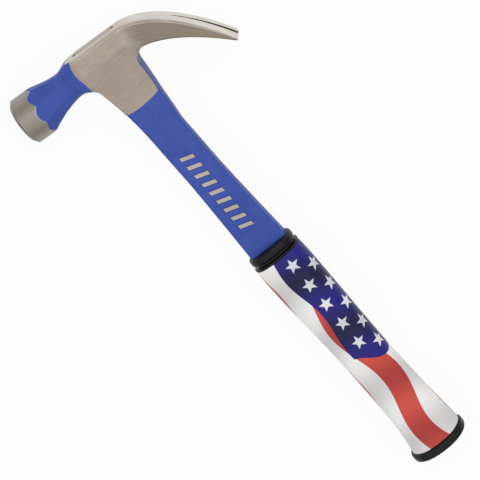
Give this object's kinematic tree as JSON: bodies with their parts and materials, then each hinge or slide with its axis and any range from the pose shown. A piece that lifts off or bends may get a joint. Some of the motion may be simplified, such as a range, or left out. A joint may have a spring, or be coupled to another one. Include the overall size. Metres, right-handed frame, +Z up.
{
  "type": "curved claw hammer",
  "caption": "Curved claw hammer forged in one piece with its shank, with an octagonal poll, a wooden shock plug in the head and a moulded grip under a printed sleeve.",
  "frame": {"origin": "middle of the hammer's outline, on the surface that it lies on", "axes": "+X along the handle from the butt to the head, +Y to the striking face, +Z up through the thickness"},
  "size_m": [0.3292, 0.13, 0.0292],
  "materials": {
    "forged_steel": "belt ground on the face, bell, cheeks and claw, blue enamel on the poll, neck edges and shank",
    "hickory": "bare end grain",
    "black_vinyl": "moulded, satin",
    "printed_film": "glossy printed shrink film"
  },
  "bodies": {
    "root": {"head_and_shank": "forged_steel", "shock_plug": "hickory", "grip": "black_vinyl", "printed_sleeve": "printed_film"}
  },
  "joints": []
}
